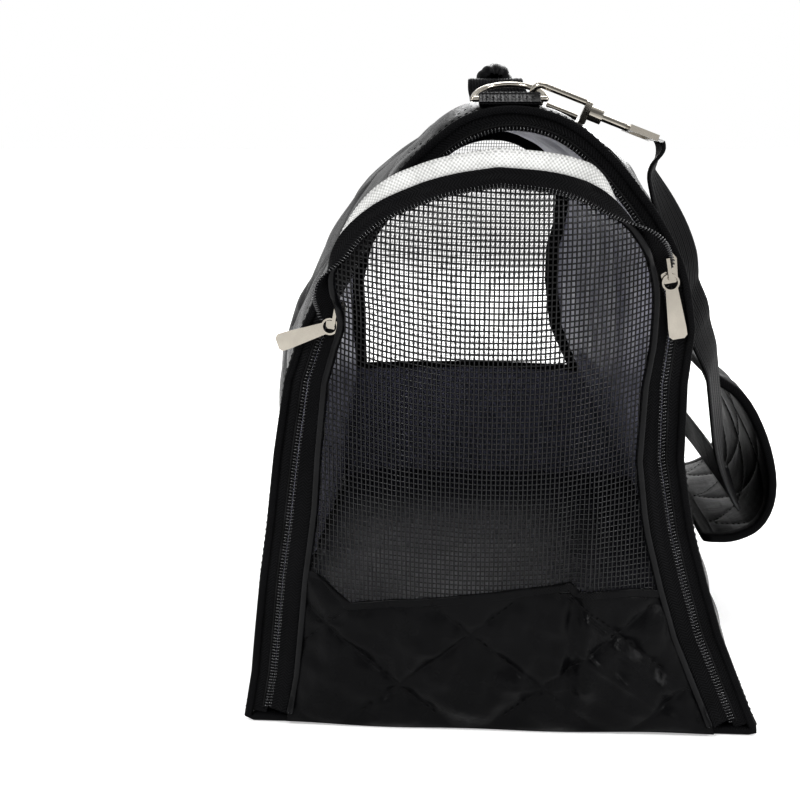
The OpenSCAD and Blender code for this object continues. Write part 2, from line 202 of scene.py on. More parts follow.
def cloth(name, front, back, material, body=None, uv=None):
    """A closed sheet between two grids of points."""
    nu, nv = front.shape[:2]
    f = grid(nu, nv)
    m = nu * nv
    faces = [f, f[:, ::-1] + m]
    idx = np.arange(m).reshape(nu, nv)
    loop = np.concatenate([idx[0, :-1], idx[:-1, -1], idx[-1, :0:-1], idx[:0:-1, 0]])
    nxt = np.roll(loop, -1)
    faces.append(np.stack([loop, nxt, nxt + m, loop + m], 1)[:, ::-1])
    uvs = None if uv is None else np.concatenate([uv.reshape(-1, 2)] * 2)
    verts = np.concatenate([front.reshape(-1, 3), back.reshape(-1, 3)])
    return mesh(name, verts, np.concatenate(faces), material, body, uvs)


def frames(path, up):
    """Unit tangent, wide and thin directions along a path, with wide as near to up as it can be."""
    t = np.gradient(path, axis=0)
    t /= np.linalg.norm(t, axis=1)[:, None]
    up = np.broadcast_to(np.asarray(up, float), path.shape)
    w = up - (up * t).sum(1)[:, None] * t
    w /= np.maximum(np.linalg.norm(w, axis=1), 1e-9)[:, None]
    return t, w, np.cross(t, w)


def sweep(name, path, up, profile, material, body=None, closed=False, scale=None):
    """Sweeps a closed profile of (wide, thin) points along a path."""
    path = np.asarray(path, float)
    profile = np.asarray(profile, float)
    t, w, n = frames(path, up)
    s = np.ones(len(path)) if scale is None else np.asarray(scale, float)
    section = w[:, None] * profile[None, :, :1] + n[:, None] * profile[None, :, 1:]
    v = path[:, None] + s[:, None, None] * section
    nu, nv = len(path), len(profile)
    faces = grid(nu, nv, wrap=True).tolist()
    if closed:
        a = (nu - 1) * nv + np.arange(nv)
        b = np.arange(nv)
        faces += np.stack([a, b, np.roll(b, -1), np.roll(a, -1)], 1).tolist()
    else:
        faces += [list(range(nv))[::-1], list(range((nu - 1) * nv, nu * nv))]
    d = distances(path)
    r = distances(profile)
    across = np.where(np.arange(nv) <= nv // 2, r, r[-1] + r[1] - r)
    uv = coords(d[:, None], across[None, :])
    return mesh(name, v, faces, material, body, uv)


def flat_profile(width, thick, across=8):
    """A flat band's rounded cross-section."""
    a = np.linspace(0, math.pi, 5)
    h, r = width / 2 - thick / 2, thick / 2
    right = np.stack([h + r * np.sin(a), -r * np.cos(a)], 1)
    top = np.stack([np.linspace(h, -h, across)[1:-1], np.full(across - 2, r)], 1)
    left = np.stack([-h - r * np.sin(a), r * np.cos(a)], 1)
    low = np.stack([np.linspace(-h, h, across)[1:-1], np.full(across - 2, -r)], 1)
    return np.concatenate([right, top, left, low])


def round_profile(r, n=10):
    a = np.linspace(0, 2 * math.pi, n, endpoint=False)
    return np.stack([r * np.cos(a), r * np.sin(a)], 1)


def join_parts(name, parts, material, body=None):
    """One mesh from many (points, faces) parts."""
    verts, faces, base = [], [], 0
    for v, f in parts:
        v = np.asarray(v, float).reshape(-1, 3)
        verts.append(v)
        faces.append(np.asarray(f) + base)
        base += len(v)
    faces = [f for part in faces for f in part.tolist()]
    return mesh(name, np.concatenate(verts), faces, material, body)


def sample(s, d, values):
    """Values of a path at the distances s, where d holds its points' distances."""
    return np.stack([np.interp(s, d, values[:, k]) for k in range(3)], 1)


def facing_way(way, path):
    """One direction for every point of a path."""
    return np.broadcast_to(np.array(way, float), path.shape)


def strand(path, r):
    """The points and faces of a thin four-sided thread."""
    t = np.gradient(path, axis=0)
    t /= np.maximum(np.linalg.norm(t, axis=1), 1e-9)[:, None]
    y = np.array([0.0, 1.0, 0.0])
    a = np.cross(t, y)
    a /= np.maximum(np.linalg.norm(a, axis=1), 1e-9)[:, None]
    b = np.cross(t, a)
    v = path[:, None] + np.stack([a * r, b * r * 0.7, -a * r, -b * r * 0.7], 1)
    n = len(path)
    f = grid(n, 4, wrap=True)
    caps = np.array([[3, 2, 1, 0], [4 * n - 4, 4 * n - 3, 4 * n - 2, 4 * n - 1]])
    return v, np.concatenate([f, caps])


def stitch_parts(path, normal, pitch=3.6, long=2.7, r=0.33, lift=0.15):
    """Short threads lying along a seam, as eight-faced grains."""
    total = length_of(path)
    n = max(2, int(total / pitch))
    d = distances(path)
    s = (np.arange(n) + 0.5) * total / n
    nn = sample(s, d, normal)
    c = sample(s, d, path) + nn * lift
    a = sample(s - long / 2, d, path) + nn * lift * 0.2
    b = sample(s + long / 2, d, path) + nn * lift * 0.2
    t = b - a
    t /= np.maximum(np.linalg.norm(t, axis=1), 1e-9)[:, None]
    side = np.cross(t, nn)
    side /= np.maximum(np.linalg.norm(side, axis=1), 1e-9)[:, None]
    v = np.stack([a, b, c + side * r, c + nn * r, c - side * r, c - nn * r], 1)
    one = np.array([[0, 3, 2], [0, 4, 3], [0, 5, 4], [0, 2, 5], [1, 2, 3], [1, 3, 4], [1, 4, 5], [1, 5, 2]])
    f = (one[None] + 6 * np.arange(n)[:, None, None]).reshape(-1, 3)
    return v.reshape(-1, 3), f


# ---- Materials ----

class Nodes:
    """A short way to write a material's nodes."""

    def __init__(self, name):
        self.material = bpy.data.materials.new(name)
        self.material.use_nodes = True
        self.tree = self.material.node_tree
        self.shader = self.tree.nodes["Principled BSDF"]

    def add(self, kind, **settings):
        node = self.tree.nodes.new(kind)
        for key, value in settings.items():
            if isinstance(value, bpy.types.NodeSocket):
                self.tree.links.new(value, node.inputs[key])
            elif key in node.inputs:
                node.inputs[key].default_value = value
            else:
                setattr(node, key, value)
        return node

    def math(self, op, *values):
        node = self.tree.nodes.new("ShaderNodeMath")
        node.operation = op
        for k, value in enumerate(values):
            if isinstance(value, bpy.types.NodeSocket):
                self.tree.links.new(value, node.inputs[k])
            else:
                node.inputs[k].default_value = value
        return node.outputs[0]

    def link(self, output, name):
        self.tree.links.new(output, self.shader.inputs[name])

    def uv(self):
        """The uv map's two coordinates, in millimetres."""
        node = self.add("ShaderNodeUVMap", uv_map="UVMap")
        split = self.add("ShaderNodeSeparateXYZ", Vector=node.outputs[0])
        return split.outputs[0], split.outputs[1]

    def place(self):
        """The point in the object, in metres."""
        return self.add("ShaderNodeTexCoord").outputs["Object"]

    def noise(self, scale, detail=4.0, rough=0.6):
        place = self.place()
        node = self.add("ShaderNodeTexNoise", Vector=place, Scale=scale, Detail=detail, Roughness=rough)
        return node.outputs["Fac"]

    def ramp(self, fac, low, high, a=0.3, b=0.7):
        node = self.add("ShaderNodeValToRGB", Fac=fac)
        e = node.color_ramp.elements
        e[0].position, e[0].color = a, (*low, 1)
        e[1].position, e[1].color = b, (*high, 1)
        return node.outputs["Color"]

    def bump(self, height, strength, distance, normal=None):
        node = self.add("ShaderNodeBump", Height=height, Strength=strength, Distance=distance)
        if normal is not None:
            self.tree.links.new(normal, node.inputs["Normal"])
        return node.outputs["Normal"]

    def plain_weave(self, u, v, pitch):
        a = self.math("SINE", self.math("MULTIPLY", u, math.pi / pitch))
        b = self.math("SINE", self.math("MULTIPLY", v, math.pi / pitch))
        return self.math("MULTIPLY", a, b)

    def herringbone(self, u, v, pitch, panel):
        """Slanting ribs that change direction every panel millimetres across."""
        zig = self.math("PINGPONG", v, panel)
        return self.math("SINE", self.math("MULTIPLY", self.math("ADD", u, zig), 2 * math.pi / pitch))

    def ribs(self, v, pitch):
        return self.math("SINE", self.math("MULTIPLY", v, 2 * math.pi / pitch))


ROUGHNESS_SPREAD = 0.12


def fabric(name, dark, light, rough, weave, pitch, depth, sheen=0.0, panel=2.5, wrinkle=0.0, shine=0.18):
    """A woven cloth: its weave from the uv map, and uneven tone, wear and creases from noise."""
    m = Nodes(name)
    u, v = m.uv()
    if weave == "plain":
        w = m.plain_weave(u, v, pitch)
    elif weave == "herringbone":
        w = m.herringbone(u, v, pitch, panel)
    else:
        w = m.math("ADD", m.ribs(v, pitch), m.math("MULTIPLY", m.plain_weave(u, v, pitch * 0.6), 0.5))
    fine = m.noise(900, 3)
    broad = m.noise(28, 5)
    mottle = m.math("ADD", m.math("MULTIPLY", fine, 0.35), m.math("MULTIPLY", broad, 0.65))
    tone = m.math("ADD", m.math("MULTIPLY", w, 0.22), mottle)
    m.link(m.ramp(tone, dark, light, 0.28, 0.78), "Base Color")
    worn = m.add("ShaderNodeMapRange", Value=broad)
    worn.inputs["To Min"].default_value = max(0.05, rough - ROUGHNESS_SPREAD)
    worn.inputs["To Max"].default_value = min(1.0, rough + ROUGHNESS_SPREAD)
    m.link(worn.outputs[0], "Roughness")
    normal = m.bump(w, 0.5, depth * MM)
    normal = m.bump(fine, 0.2, 0.12 * MM, normal)
    if wrinkle:
        normal = m.bump(m.noise(75, 6, 0.62), 0.55, wrinkle * MM, normal)
    m.link(normal, "Normal")
    m.shader.inputs["Sheen Weight"].default_value = sheen
    m.shader.inputs["Sheen Roughness"].default_value = 0.4
    m.shader.inputs["Specular IOR Level"].default_value = shine
    return m.material


def metal(name, colour, rough):
    """Bright plated wire with faint brushing and handling marks."""
    m = Nodes(name)
    marks = m.noise(420, 6, 0.7)
    broad = m.noise(60, 3)
    m.link(m.ramp(broad, [c * 0.82 for c in colour], colour), "Base Color")
    r = m.add("ShaderNodeMapRange", Value=marks)
    r.inputs["To Min"].default_value = rough * 0.6
    r.inputs["To Max"].default_value = rough * 1.7
    m.link(r.outputs[0], "Roughness")
    m.link(m.bump(marks, 0.15, 0.05 * MM), "Normal")
    m.shader.inputs["Metallic"].default_value = 1.0
    return m.material


def plastic(name, dark, light, rough, shine=0.3):
    m = Nodes(name)
    grain = m.noise(1500, 3)
    m.link(m.ramp(m.noise(90, 4), dark, light), "Base Color")
    m.link(m.bump(grain, 0.3, 0.08 * MM), "Normal")
    m.shader.inputs["Roughness"].default_value = rough
    m.shader.inputs["Specular IOR Level"].default_value = shine
    return m.material


BLACK = (0.0015, 0.0015, 0.0018)
SOFT_BLACK = (0.002, 0.002, 0.0024)
WORN_BLACK = (0.008, 0.008, 0.009)
SHINY_BLACK = (0.006, 0.006, 0.007)

NYLON = fabric("quilted_nylon", BLACK, (0.006, 0.006, 0.0068), 0.27, "plain", 0.7, 0.05,
               wrinkle=1.5, shine=0.09)
PAD_NYLON = fabric("pad_nylon", SOFT_BLACK, (0.010, 0.010, 0.011), 0.4, "plain", 0.7, 0.05,
                   wrinkle=0.8, shine=0.06)
LINING = fabric("lining_nylon", (0.34, 0.34, 0.41), (0.50, 0.50, 0.60), 0.42, "plain", 0.8, 0.05, 0.05,
                wrinkle=0.8, shine=0.35)
MAT_CLOTH = fabric("mat_cloth", (0.022, 0.022, 0.029), (0.052, 0.052, 0.065), 0.55, "plain", 0.9, 0.07,
                   0.05, wrinkle=0.7)
TWILL = fabric("edge_twill", BLACK, WORN_BLACK, 0.5, "herringbone", 1.3, 0.2, panel=1.8, shine=0.05)
TAPE = fabric("zip_tape_cloth", BLACK, WORN_BLACK, 0.45, "herringbone", 1.5, 0.25, panel=2.2, shine=0.06)
GREY_BAND = fabric("seam_binding_cloth", (0.38, 0.38, 0.372), (0.72, 0.72, 0.71), 0.8, "plain", 0.85, 0.22,
                   0.05, shine=0.1)
WEBBING = fabric("webbing_cloth", BLACK, (0.009, 0.009, 0.010), 0.45, "ribs", 1.6, 0.25, shine=0.06)
MESH_CLOTH = plastic("mesh_yarn", SOFT_BLACK, (0.007, 0.007, 0.008), 0.3, 0.45)
PIPING = plastic("piping_cord", BLACK, SHINY_BLACK, 0.22, 0.2)
COIL = plastic("zip_coil_nylon", (0.012, 0.012, 0.013), (0.04, 0.04, 0.043), 0.2, 0.9)
THREAD = plastic("black_thread", (0.004, 0.004, 0.004), (0.014, 0.014, 0.015), 0.5, 0.1)
GREY_THREAD = plastic("grey_thread", (0.4, 0.4, 0.4), (0.6, 0.6, 0.6), 0.6)
STEEL = metal("nickel_plate", (0.46, 0.43, 0.38), 0.16)
BOARD = plastic("board_plastic", (0.010, 0.010, 0.011), (0.022, 0.022, 0.024), 0.6)


# ---- Quilting ----

QUILT_A, QUILT_B = 74.0, 58.0
DOOR_QUILT = (68.0, 58.0)
DOOR_QUILT_AT = (-48.0, 24.0)
PAD_QUILT = (58.0, 52.0)


def quilt(u, v, puff, soft=6.5, size=(QUILT_A, QUILT_B)):
    """Height of the padding between two families of slanting seams, zero on the seams."""
    a, b = u / size[0] + v / size[1], u / size[0] - v / size[1]
    d = np.minimum(np.abs(a - np.round(a)), np.abs(b - np.round(b))) / math.hypot(1 / size[0], 1 / size[1])
    return puff * (1 - np.exp(-d / soft)) ** 0.8


def quilt_lines(u0, u1, v0, v1, step=3.0, size=(QUILT_A, QUILT_B)):
    """The seams' lines inside a rectangle, each an array of (u, v)."""
    lines = []
    for sign in (1, -1):
        reach = int(max(abs(u0), abs(u1)) / size[0] + max(abs(v0), abs(v1)) / size[1]) + 2
        for k in range(-reach, reach + 1):
            u = np.arange(u0, u1 + step, step)
            v = sign * (k - u / size[0]) * size[1]
            keep = (v > v0) & (v < v1)
            if keep.sum() > 4:
                lines.append(np.stack([u[keep], v[keep]], 1))
    return lines


# ---- Shell: sides and roof in one loft, with the base, rims and lining ----

SHELL_Y = HALF_L - 6
ARCH_OUT = arch(-1.5, 500, 2.0)
ARCH_OUT_N = outward(ARCH_OUT)
ARCH_LEN = length_of(ARCH_OUT)
ARCH_S = np.linspace(0, ARCH_LEN, len(ARCH_OUT))


def shell_at(s, y, puff=1.0):
    """Points of the shell's outer face at arc length s and depth y."""
    s, y = np.broadcast_arrays(np.asarray(s, float), np.asarray(y, float))
    x, z = np.interp(s, ARCH_S, ARCH_OUT[:, 0]), np.interp(s, ARCH_S, ARCH_OUT[:, 1])
    nx, nz = np.interp(s, ARCH_S, ARCH_OUT_N[:, 0]), np.interp(s, ARCH_S, ARCH_OUT_N[:, 1])
    edge = SHELL_Y - np.abs(y)
    foot = np.minimum(s, ARCH_LEN - s)
    roof = smooth((z - 245) / 40)
    near = roof + (1 - roof) * (0.12 + 0.88 * smooth((y + SHELL_Y - 8) / 100))
    near = near * (1 - 0.8 * np.exp(-((s - ARCH_LEN / 2) / 30) ** 4) * smooth((84 - np.abs(y)) / 14))
    near = near * (1 - 0.6 * roof * smooth((y - 150) / 25))
    swell = (1 - np.exp(-edge / 16)) * (1 - np.exp(-foot / 22)) * near
    h = swell * (7.5 - 4.5 * roof)
    h = h + puff * quilt(s - ARCH_LEN / 2, y, 4.6) * swell * (1 - 0.45 * roof)
    h = h + swell * (1.3 * ripple(s, y, 75, 3) + 0.55 * ripple(s, y, 26, 8) * (1 - roof))
    gather = np.abs(np.sin(s / 8.5 + 0.8 * np.sin(s / 37)))
    h = h + 1.5 * np.exp(-edge / 12) * (1 - np.exp(-edge / 2.5)) * gather
    h = np.clip(h, -1.5, 12.5)
    return sag(np.stack([x + nx * h, y, z + nz * h], -1))


def make_shell():
    s = np.linspace(0, ARCH_LEN, 304)[:, None]
    y = np.linspace(-SHELL_Y, SHELL_Y, 160)[None, :]
    outer = shell_at(s, y)
    inner_line = resample(arch(1.6, 500, 2.0), len(s))
    inner = sag(coords(inner_line[:, 0][:, None], y, inner_line[:, 1][:, None]))
    uv = coords(s, y)
    o = cloth("shell_quilted_cover", outer, inner, NYLON, "shell", uv)
    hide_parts("side_panel_left", "side_panel_right", "roof_panel")
    parts = []
    for line in quilt_lines(-ARCH_LEN / 2 + 8, ARCH_LEN / 2 - 8, -SHELL_Y + 8, SHELL_Y - 8):
        p = shell_at(line[:, 0] + ARCH_LEN / 2, line[:, 1])
        q = shell_at(line[:, 0] + ARCH_LEN / 2 + 1, line[:, 1]) - p
        r = shell_at(line[:, 0] + ARCH_LEN / 2, line[:, 1] + 1) - p
        n = np.cross(r, q)
        n /= np.linalg.norm(n, axis=1)[:, None]
        n *= np.sign((n * (p - np.array([0, 0, 120]) * [1, 0, 1] - p * [0, 1, 0])).sum(1))[:, None]
        parts.append(stitch_parts(p, n, 4.2, 3.2, 0.36, 0.3))
    join_parts("shell_quilting_stitches", parts, THREAD, "shell")


def make_base():
    w = float(half_width(-1.5, 2.0))
    x = np.linspace(-w, w, 110)[:, None]
    y = np.linspace(-SHELL_Y, SHELL_Y, 160)[None, :]
    edge = np.minimum(w - np.abs(x), SHELL_Y - np.abs(y))
    low = 2.6 * np.exp(-edge / 7) + (1.7 - quilt(x, y, 1.7)) * (1 - np.exp(-edge / 9))
    top = np.broadcast_to(3.5, low.shape)
    under = coords(x, y, np.clip(low, 0.05, 3.0))
    over = coords(x, y, top)
    uv = coords(x, y)
    o = cloth("base_cover", over, under, NYLON, "shell", uv)
    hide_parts("base_panel")


def make_lining():
    line = arch(3.1, 260, BOARD_TOP + 10.4)
    n = outward(line)
    y = np.linspace(-202.5, 204, 150)[None, :]
    s = np.linspace(0, length_of(line), len(line))[:, None]
    edge = np.minimum(204 - np.abs(y), 60)
    h = (1 - np.exp(-edge / 14)) * (1.6 + 1.5 * ripple(s, y, 90, 21) + 0.7 * ripple(s, y, 30, 22))
    h = np.clip(h, 0.3, 5)

    def wall(inset):
        return sag(coords(line[:, :1] - n[:, :1] * inset, y, line[:, 1:2] - n[:, 1:2] * inset))

    uv = coords(s, y)
    o = cloth("lining_cloth", wall(np.zeros_like(h)), wall(h), LINING, "shell", uv)
    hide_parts("lining")


RIM_SIZE = (6.0, 3.9)
PAD_RIM_SIZE = (8, 5.4)


def rim_profile(width, thick):
    """A binding's squarish cross-section."""
    a = np.linspace(0, 2 * math.pi, 20, endpoint=False)
    c, s = np.cos(a), np.sin(a)
    wide = np.sign(c) * np.abs(c) ** 0.6 * width / 2
    return np.stack([wide, np.sign(s) * np.abs(s) ** 0.6 * thick / 2], 1)


def make_rim(name, y, node):
    line = arch(0.0, 420, 2.2)
    foot = np.stack([np.linspace(line[-1, 0], line[0, 0], 90)[1:-1], np.full(88, 1.9)], 1)
    loop = np.concatenate([line, foot])
    path = at_depth(loop, y)
    lift = ripple(np.arange(len(path)), 0, 60, 5)
    path[:len(line), 0] += 0.25 * lift[:len(line)] * np.sign(path[:len(line), 0])
    profile = rim_profile(*RIM_SIZE)
    o = sweep(name, sag(path), (0, 1, 0), profile, TWILL, "shell", closed=True)
    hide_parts(node)


def make_rims():
    for side, node in ((-1, "front_rim"), (1, "rear_rim")):
        name = node + "_binding"
        y = side * (HALF_L - RIM_SIZE[0] / 2)
        make_rim(name, y, node)
        line = arch(-1.9, 400, 4.0)
        p = at_depth(line, y - side * 1.6)
        n = outward(line)
        n = at_depth(n, 0.0)
        parts = [stitch_parts(sag(p), n, 3.4, 2.6, 0.32, 0.25)]
        join_parts(name + "_stitches", parts, THREAD, "shell")


def make_mat():
    w = float(half_width(4.3, 16)) - 3
    l = HALF_L - 9.5
    t = np.linspace(-1, 1, 90)
    x, y = np.meshgrid(t * w, np.linspace(-1, 1, 130) * l, indexing="ij")
    edge = np.minimum(w - np.abs(x), l - np.abs(y))
    corner = np.minimum(1, np.hypot(np.maximum(w - np.abs(x), 0), np.maximum(l - np.abs(y), 0)) / 20)
    round_off = np.sqrt(np.clip(1 - (1 - np.clip(edge / 6, 0, 1)) ** 2, 0, 1))
    tuft = 1.6 * np.exp(-((np.abs((y + 66) % 132 - 66)) / 9) ** 2)
    top = BOARD_TOP + 5 + 4.4 * round_off * corner - tuft + 0.5 * ripple(x, y, 60, 31) * round_off
    low = BOARD_TOP + 5 - 4.7 * round_off * corner
    uv = np.stack([x, y], -1)
    o = cloth("floor_cushion", coords(x, y, top), coords(x, y, low), MAT_CLOTH, "shell", uv)
    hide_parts("floor_mat")
    loop = []
    for a in np.linspace(0, 2 * math.pi, 240, endpoint=False):
        c, s = math.cos(a), math.sin(a)
        q = 10
        k = (abs(c) ** q + abs(s) ** q) ** (-1 / q)
        loop.append((c * k * (w - 0.6), s * k * (l - 0.6), BOARD_TOP + 5))
    sweep("floor_cushion_cord", np.array(loop), (0, 0, 1), round_profile(1.7), MAT_CLOTH, "shell",
          closed=True)


# ---- Mesh panels ----

MESH_PITCH = (2.0, 2.45)
MESH_STEP = 5.0


def level(x, z):
    """A row of the mesh that runs straight across."""
    return 0.0 * x


def strands(name, surface, inside, r, body, bow=level):
    """An open mesh of threads over a surface, wherever inside(x, z) holds."""
    parts = []
    for x in np.arange(-102, 102, MESH_PITCH[0]):
        z = np.arange(30, 292, MESH_STEP / 4)
        ok = inside(np.full_like(z, x), z)
        if ok.sum() > 5:
            low, high = z[ok].min(), z[ok].max()
            z = np.linspace(low, high, max(3, int((high - low) / MESH_STEP)))
            parts.append(strand(surface(np.full_like(z, x), z), r))
    for z0 in np.arange(20, 292, MESH_PITCH[1]):
        x = np.arange(-102, 102, MESH_STEP / 4)
        ok = inside(x, z0 + bow(x, np.full_like(x, z0)))
        if ok.sum() > 5:
            low, high = x[ok].min(), x[ok].max()
            x = np.linspace(low, high, max(3, int((high - low) / MESH_STEP)))
            parts.append(strand(surface(x, z0 + bow(x, np.full_like(x, z0))) + [0, 0.25, 0], r))
    return join_parts(name, parts, MESH_CLOTH, body)


WINDOW_Z = (97, 281)
WINDOW_INSET = 9.0


def rear_surface(x, z):
    bow = 5 * (1 - (x / 95) ** 2) * np.sin(np.clip((z - 95) / 190, 0, 1) * math.pi)
    y = HALF_L - 3.2 - bow + 0.8 * ripple(x, z, 60, 41)
    return sag(coords(x, y, z))


def make_rear():
    def inside_window(x, z):
        return (z > WINDOW_Z[0]) & (z < WINDOW_Z[1]) & (np.abs(x) < half_width(WINDOW_INSET, z))

    o = strands("rear_window_mesh", rear_surface, inside_window, 0.15, "shell")
    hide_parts("rear_mesh_window")
    line = arch(7.0, 320, 96.0)
    path = at_depth(line, HALF_L - 3.4)
    n = outward(line)
    up = at_depth(n, 0.0)
    o = sweep("rear_window_band", sag(path), up, flat_profile(11, 1.6), TWILL, "shell")
    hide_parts("rear_trim")
    parts = []
    for inset in (3.5, 10.8):
        line = arch(inset, 320, 98.0)
        for y, ny in ((HALF_L - 2.6, 1.0), (HALF_L - 4.2, -1.0)):
            p = at_depth(line, y)
            parts.append(stitch_parts(sag(p), facing_way((0, ny, 0), p), 3.4, 2.6, 0.3, 0.1))
    join_parts("rear_window_band_stitches", parts, THREAD, "shell")
    # the quilted panel below the window
    nx, nz = 130, 70
    t = np.linspace(-1, 1, nx)[:, None]
    k = np.linspace(0, 1, nz)[None, :]
    z = 4.5 + k * (98 + 1.5 * np.cos(t * 2) - 4.5)
    x = t * half_width(2.6, z)
    edge = np.minimum(np.minimum((1 - np.abs(t)) * 100, k * 92), (1 - k) * 92)
    puff = (1 - np.exp(-edge / 7)) * (quilt(x, z - 40, 4.2) + 0.8 * ripple(x, z, 50, 43))
    back = sag(coords(x, HALF_L - 3.4 + np.clip(puff, 0, 6), z))
    front = sag(coords(x, HALF_L - 4.0 - np.clip(puff, 0, 6) * 0.4, z))
    uv = coords(x, z)
    o = cloth("rear_quilted_cover", back, front, NYLON, "shell", uv)
    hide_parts("rear_quilted_panel")
    wall = np.clip(1.2 + 1.1 * ripple(x, z, 70, 44) + 0.6 * ripple(x, z, 26, 45), 0.3, 4)
    wall = wall * (1 - np.exp(-edge / 10))
    near = coords(x * 0.985, HALF_L - 7.4 - wall, z)
    far = coords(x * 0.985, HALF_L - 6.8 + 0 * z, z)
    cloth("rear_panel_lining", sag(near), sag(far), LINING, "shell", uv)
    top_z = 98 + 1.5 * np.cos(t[:, 0] * 2)
    top = np.stack([t[:, 0] * half_width(3.5, 98), np.full(nx, HALF_L - 3.4), top_z], 1)
    sweep("rear_panel_top_binding", sag(top), (0, 0, 1), flat_profile(9, 2.2), TWILL,
          "shell")


# ---- Door ----

BULGE_Z = [0, 8, 35, 66, 95, 120, 150, 180, 215, 240, 262, 290]
BULGE = [4.0, 4.8, 9, 15, 21, 27, 32, 36, 39, 38, 31, 22]

# Above the sliders the unzipped flap spreads wider than its opening. These are its edges, from low to high.
FLAP_LEFT = [(-75, 196), (-76.5, 203), (-78, 209), (-79, 215), (-78.6, 221),
             (-75.8, 230), (-69.8, 239.5), (-57, 250),
             (-41, 257), (-25, 262.4), (-5, 265.2)]
FLAP_RIGHT = [(67, 196), (67.2, 206), (66.4, 217), (62.6, 229.5), (54, 241.5),
              (45, 251), (36, 257.6), (19, 263.4), (-5, 265.2)]
FOLD_LEFT = (203, 238)
FOLD_RIGHT = (220, 263)


def door_edges():
    """The door's left and right edges, as points (x, z) from the sill to the flap's top."""
    z = np.linspace(3, 188, 60)
    y = np.full(60, DOOR_Y)
    edges = []
    for side, flap in ((-1, FLAP_LEFT), (1, FLAP_RIGHT)):
        seam = np.interp(z, [0, 110, 190], [18.5, 18.5, 14.5])
        low = sag(np.stack([side * half_width(seam, z), y, z], 1))[:, [0, 2]]
        edges.append(np.concatenate([low[:-2], curve(np.concatenate([low[-2:], flap]), 140)]))
    return edges


def curve(points, n, rounds=3):
    """A smooth line through control points, by cutting corners."""
    p = np.asarray(points, float)
    for _ in range(rounds):
        first, second = 0.75 * p[:-1] + 0.25 * p[1:], 0.25 * p[:-1] + 0.75 * p[1:]
        q = np.stack([first, second], 1).reshape(-1, p.shape[1])
        p = np.concatenate([p[:1], q, p[-1:]])
    return resample(p, n)


EDGE_LEFT, EDGE_RIGHT = door_edges()


def door_span(z):
    """The door's left and right edges at height z."""
    return np.interp(z, EDGE_LEFT[:, 1], EDGE_LEFT[:, 0]), np.interp(z, EDGE_RIGHT[:, 1], EDGE_RIGHT[:, 0])


def fold_height(x):
    """Height of the fold line over x."""
    return FOLD_Z + x * math.tan(FOLD_TILT)


def door_y(x, z):
    """The depth of the slack door's face, which hangs forward."""
    x, z = np.broadcast_arrays(np.asarray(x, float), np.asarray(z, float))
    left, right = door_span(np.minimum(z, 258))
    middle = np.interp(z, BULGE_Z, BULGE)
    above = np.maximum(z - fold_height(x) - 3, 0)
    edge = np.minimum(above * math.tan(RAD(18)) + 4 * smooth(above / 9), middle)
    edge = np.maximum(edge, 3.6 * smooth((16 - z) / 12))
    u = np.abs(2 * x - left - right) / (right - left + 4)
    across = 1 - np.clip(u, 0, 1.15) ** 2.3
    y = edge + np.maximum(middle - edge, 0) * across
    loose = smooth((z - 8) / 30) * np.clip(across * 1.6, 0, 1)
    waves = 1.0 * ripple(x, z * 0.5, 62, 51) + 0.4 * ripple(x, z * 0.6, 24, 52)
    y = y + loose * waves * smooth((300 - z) / 60)
    from_foot, from_top = smooth((z - 6) / 20), smooth((150 - z) / 60)
    crease = np.exp(-((x - 33 - 0.02 * (z - 60)) / 3.6) ** 2) * from_foot * from_top
    y = y - 2.4 * crease + 1.8 * np.exp(-((x - 40) / 5.0) ** 2) * from_foot * from_top
    return DOOR_Y - y


def door_surface(x, z, out=0.0):
    return coords(x, door_y(x, z) - out, z)


PANEL_X = [-105, -88, -71, -45, -15, 12, 31, 34, 60, 82, 105]
PANEL_TOP = [80, 77, 64, 68, 72.5, 76, 78, 74, 74, 70, 68]


def panel_top(x):
    return np.interp(x, PANEL_X, PANEL_TOP)


def bend_at_fold(o):
    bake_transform(o)
    return o


def row_bow(x, z):
    return 0.0012 * x * x * smooth((z - 70) / 120) + 0.7 * ripple(x, z, 110, 61)


def make_door_mesh():
    def inside(x, z):
        left, right = door_span(z)
        return (z > panel_top(x) - 3) & (z < 264.8) & (x > left + 0.3) & (x < right - 0.3)

    o = strands("door_mesh_cloth", door_surface, inside, 0.36, None, bow=row_bow)
    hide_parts("door_mesh", "flap_mesh")
    bend_at_fold(o)


